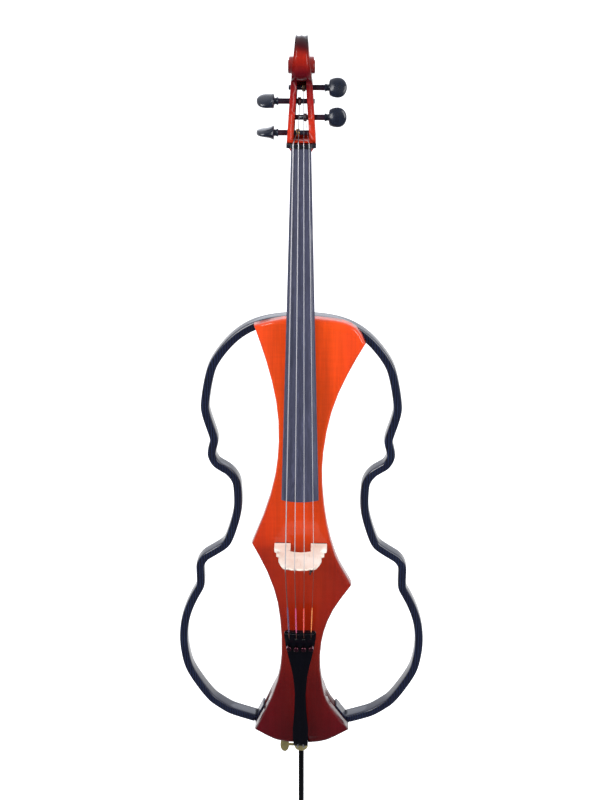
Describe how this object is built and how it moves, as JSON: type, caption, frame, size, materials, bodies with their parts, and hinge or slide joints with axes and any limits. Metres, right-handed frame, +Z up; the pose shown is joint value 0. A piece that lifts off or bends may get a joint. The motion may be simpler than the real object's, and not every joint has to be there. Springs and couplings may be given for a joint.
{
  "type": "electric_cello",
  "caption": "Electric cello on its endpin: varnished wooden core, black carbon hoop in a cello outline, scroll, bridge, tailpiece with fine tuners, controls on the back.",
  "frame": {"origin": "flat underside of the endpin's rubber tip, on the endpin's axis, with the endpin drawn out as pictured", "axes": "+Z up along the instrument, -Y to the front where the strings are, +X to the right as seen from the front"},
  "size_m": [0.4368, 0.1726, 1.5816],
  "materials": {
    "red_varnish": "glossy varnish",
    "dark_varnish": "dark satin varnish",
    "carbon": "glossy carbon weave",
    "neck_varnish": "glossy varnish",
    "ebony": "polished black",
    "string_metal": "wound steel",
    "maple": "plain, unvarnished",
    "black_steel": "black",
    "chrome": "polished",
    "brass": "satin",
    "rubber": "matt",
    "plastic": "matt",
    "cord": "smooth cord",
    "circuit_board": "board green",
    "battery_casing": "printed sleeve, left plain"
  },
  "bodies": {
    "instrument": {"body_front": "red_varnish", "body_back": "dark_varnish", "frame_left": "carbon", "frame_right": "carbon", "frame_flange_left": "carbon", "frame_flange_right": "carbon", "neck_and_scroll": "neck_varnish", "fingerboard": "ebony", "nut": "ebony", "saddle": "ebony", "tailpiece": "ebony", "endpin_plug": "ebony", "string_c": "string_metal", "string_g": "string_metal", "string_d": "string_metal", "string_a": "string_metal", "bridge": "maple", "string_bar": "black_steel", "pickup_bass": "black_steel", "pickup_treble": "black_steel", "tuner_pin": "chrome", "cover_screw_1": "chrome", "cover_screw_2": "chrome", "cover_screw_3": "chrome", "cover_screw_4": "chrome", "output_jack": "chrome", "headphone_jack": "chrome", "endpin_collar": "brass", "pickup_lead": "plastic", "electronics_cover": "plastic", "tailgut": "cord", "preamp_board": "circuit_board", "battery": "battery_casing"},
    "tuning_peg_c": {"peg_c": "ebony", "string_winding_c": "string_metal"},
    "tuning_peg_g": {"peg_g": "ebony", "string_winding_g": "string_metal"},
    "tuning_peg_d": {"peg_d": "ebony", "string_winding_d": "string_metal"},
    "tuning_peg_a": {"peg_a": "ebony", "string_winding_a": "string_metal"},
    "tuner_screw_c": {"fine_tuner_screw_c": "black_steel"},
    "tuner_screw_g": {"fine_tuner_screw_g": "black_steel"},
    "tuner_screw_d": {"fine_tuner_screw_d": "black_steel"},
    "tuner_screw_a": {"fine_tuner_screw_a": "black_steel"},
    "tuner_lever_c": {"fine_tuner_lever_c": "black_steel"},
    "tuner_lever_g": {"fine_tuner_lever_g": "black_steel"},
    "tuner_lever_d": {"fine_tuner_lever_d": "black_steel"},
    "tuner_lever_a": {"fine_tuner_lever_a": "black_steel"},
    "endpin": {"endpin_rod": "black_steel", "endpin_spike": "black_steel", "rubber_tip": "rubber"},
    "thumbscrew": {"endpin_thumbscrew": "brass"},
    "volume_control": {"volume_knob": "plastic"},
    "bass_control": {"bass_knob": "plastic"},
    "treble_control": {"treble_knob": "plastic"},
    "battery_lid": {"battery_door": "plastic"}
  },
  "joints": [
    {"name": "peg_turn_c", "type": "hinge", "parent": "instrument", "child": "tuning_peg_c", "pos_m": [0, 0.001, 1.434], "axis": [1, 0, 0], "range_deg": [-720, 720]},
    {"name": "peg_turn_g", "type": "hinge", "parent": "instrument", "child": "tuning_peg_g", "pos_m": [0, 0.0135, 1.4808], "axis": [1, 0, 0], "range_deg": [-720, 720]},
    {"name": "peg_turn_d", "type": "hinge", "parent": "instrument", "child": "tuning_peg_d", "pos_m": [0, 0.019, 1.501], "axis": [1, 0, 0], "range_deg": [-720, 720]},
    {"name": "peg_turn_a", "type": "hinge", "parent": "instrument", "child": "tuning_peg_a", "pos_m": [0, 0.007, 1.457], "axis": [1, 0, 0], "range_deg": [-720, 720]},
    {"name": "tuner_turn_c", "type": "hinge", "parent": "instrument", "child": "tuner_screw_c", "pos_m": [-0.01905, -0.086, 0.557], "axis": [0, 1, 0], "range_deg": [-720, 720]},
    {"name": "tuner_turn_g", "type": "hinge", "parent": "instrument", "child": "tuner_screw_g", "pos_m": [-0.00635, -0.086, 0.557], "axis": [0, 1, 0], "range_deg": [-720, 720]},
    {"name": "tuner_turn_d", "type": "hinge", "parent": "instrument", "child": "tuner_screw_d", "pos_m": [0.00635, -0.086, 0.557], "axis": [0, 1, 0], "range_deg": [-720, 720]},
    {"name": "tuner_turn_a", "type": "hinge", "parent": "instrument", "child": "tuner_screw_a", "pos_m": [0.01905, -0.086, 0.557], "axis": [0, 1, 0], "range_deg": [-720, 720]},
    {"name": "lever_tip_c", "type": "hinge", "parent": "instrument", "child": "tuner_lever_c", "pos_m": [-0.01905, -0.06815, 0.5665], "axis": [1, 0, 0], "range_deg": [-1.6, 1.6]},
    {"name": "lever_tip_g", "type": "hinge", "parent": "instrument", "child": "tuner_lever_g", "pos_m": [-0.00635, -0.06815, 0.5665], "axis": [1, 0, 0], "range_deg": [-1.6, 1.6]},
    {"name": "lever_tip_d", "type": "hinge", "parent": "instrument", "child": "tuner_lever_d", "pos_m": [0.00635, -0.06815, 0.5665], "axis": [1, 0, 0], "range_deg": [-1.6, 1.6]},
    {"name": "lever_tip_a", "type": "hinge", "parent": "instrument", "child": "tuner_lever_a", "pos_m": [0.01905, -0.06815, 0.5665], "axis": [1, 0, 0], "range_deg": [-1.6, 1.6]},
    {"name": "endpin_slide", "type": "slide", "parent": "instrument", "child": "endpin", "axis": [0, 0, 1], "range_m": [-0.1, 0.259]},
    {"name": "thumbscrew_turn", "type": "hinge", "parent": "instrument", "child": "thumbscrew", "pos_m": [-0.02, 0, 0.2975], "axis": [1, 0, 0], "range_deg": [-720, 180]},
    {"name": "volume_turn", "type": "hinge", "parent": "instrument", "child": "volume_control", "pos_m": [0, 0.0178, 0.839], "axis": [0, 1, 0], "range_deg": [-140, 140]},
    {"name": "bass_turn", "type": "hinge", "parent": "instrument", "child": "bass_control", "pos_m": [0, 0.0178, 0.864], "axis": [0, 1, 0], "range_deg": [-140, 140]},
    {"name": "treble_turn", "type": "hinge", "parent": "instrument", "child": "treble_control", "pos_m": [0, 0.0178, 0.889], "axis": [0, 1, 0], "range_deg": [-140, 140]},
    {"name": "battery_door_swing", "type": "hinge", "parent": "instrument", "child": "battery_lid", "pos_m": [0, 0.0178, 0.921], "axis": [-1, 0, 0], "range_deg": [0, 110]}
  ],
  "couplings": [
    {"joint": "lever_tip_c", "follows": "tuner_turn_c", "ratio": 0.002},
    {"joint": "lever_tip_g", "follows": "tuner_turn_g", "ratio": 0.002},
    {"joint": "lever_tip_d", "follows": "tuner_turn_d", "ratio": 0.002},
    {"joint": "lever_tip_a", "follows": "tuner_turn_a", "ratio": 0.002}
  ]
}
